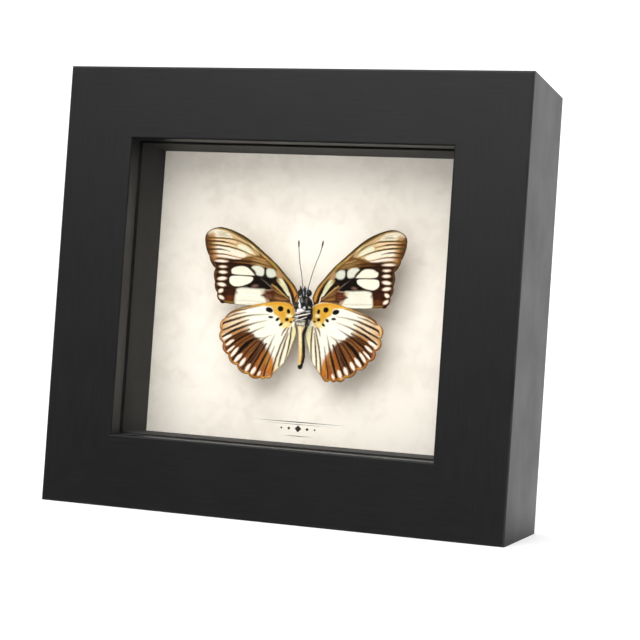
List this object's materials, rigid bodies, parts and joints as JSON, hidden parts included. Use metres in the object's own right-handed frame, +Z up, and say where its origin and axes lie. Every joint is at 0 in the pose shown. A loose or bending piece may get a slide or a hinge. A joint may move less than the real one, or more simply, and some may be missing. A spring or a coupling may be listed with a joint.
{
  "type": "butterfly display case",
  "caption": "Deep black shadow-box frame with a butterfly pinned on cream paper behind glass, and a back panel held by turn buttons.",
  "frame": {"origin": "middle of the frame's bottom face, halfway through the depth of the rails", "axes": "+X across to the viewer's right, +Y from the glass to the back, +Z up"},
  "size_m": [0.165, 0.058, 0.153],
  "materials": {
    "black_lacquered_wood": "satin",
    "black_spacer_board": "matte",
    "clear_glass": "polished",
    "parchment_paper": "matte",
    "white_foam": "matte",
    "corrugated_card": "matte",
    "brown_hardboard": "matte",
    "zinc_plated_steel": "satin",
    "brass_plated_steel": "satin",
    "black_rubber": "matte",
    "scaled_wing": "matte",
    "dark_chitin": "satin",
    "insect_fur": "matte"
  },
  "bodies": {
    "case": {"abdomen": "insect_fur", "back_panel": "brown_hardboard", "backing_paper": "parchment_paper", "compound_eyes": "dark_chitin", "corner_v_nails": "zinc_plated_steel", "filler_pad_1": "corrugated_card", "filler_pad_2": "corrugated_card", "glass_pane": "clear_glass", "hanger_nails": "zinc_plated_steel", "head": "insect_fur", "left_antenna": "dark_chitin", "left_forewing": "scaled_wing", "left_hindwing": "scaled_wing", "legs": "dark_chitin", "palps": "dark_chitin", "pinning_foam": "white_foam", "rail_bottom": "black_lacquered_wood", "rail_left": "black_lacquered_wood", "rail_right": "black_lacquered_wood", "rail_top": "black_lacquered_wood", "right_antenna": "dark_chitin", "right_forewing": "scaled_wing", "right_hindwing": "scaled_wing", "sawtooth_hanger": "brass_plated_steel", "spacer_bottom": "black_spacer_board", "spacer_left": "black_spacer_board", "spacer_right": "black_spacer_board", "spacer_top": "black_spacer_board", "specimen_pin": "zinc_plated_steel", "specimen_riser": "white_foam", "thorax": "insect_fur", "turn_button_screws": "zinc_plated_steel", "wall_bumper_left": "black_rubber", "wall_bumper_right": "black_rubber"},
    "turn_button_left_1": {"turn_button_left_1": "zinc_plated_steel"},
    "turn_button_left_2": {"turn_button_left_2": "zinc_plated_steel"},
    "turn_button_right_1": {"turn_button_right_1": "zinc_plated_steel"},
    "turn_button_right_2": {"turn_button_right_2": "zinc_plated_steel"}
  },
  "joints": [
    {"name": "turn_button_left_1_pivot", "type": "hinge", "parent": "case", "child": "turn_button_left_1", "pos_m": [-0.0735, 0.0277, 0.0385], "axis": [0, 1, 0], "continuous": true},
    {"name": "turn_button_left_2_pivot", "type": "hinge", "parent": "case", "child": "turn_button_left_2", "pos_m": [-0.0735, 0.0277, 0.1145], "axis": [0, 1, 0], "continuous": true},
    {"name": "turn_button_right_1_pivot", "type": "hinge", "parent": "case", "child": "turn_button_right_1", "pos_m": [0.0735, 0.0277, 0.0385], "axis": [0, 1, 0], "continuous": true},
    {"name": "turn_button_right_2_pivot", "type": "hinge", "parent": "case", "child": "turn_button_right_2", "pos_m": [0.0735, 0.0277, 0.1145], "axis": [0, 1, 0], "continuous": true}
  ]
}
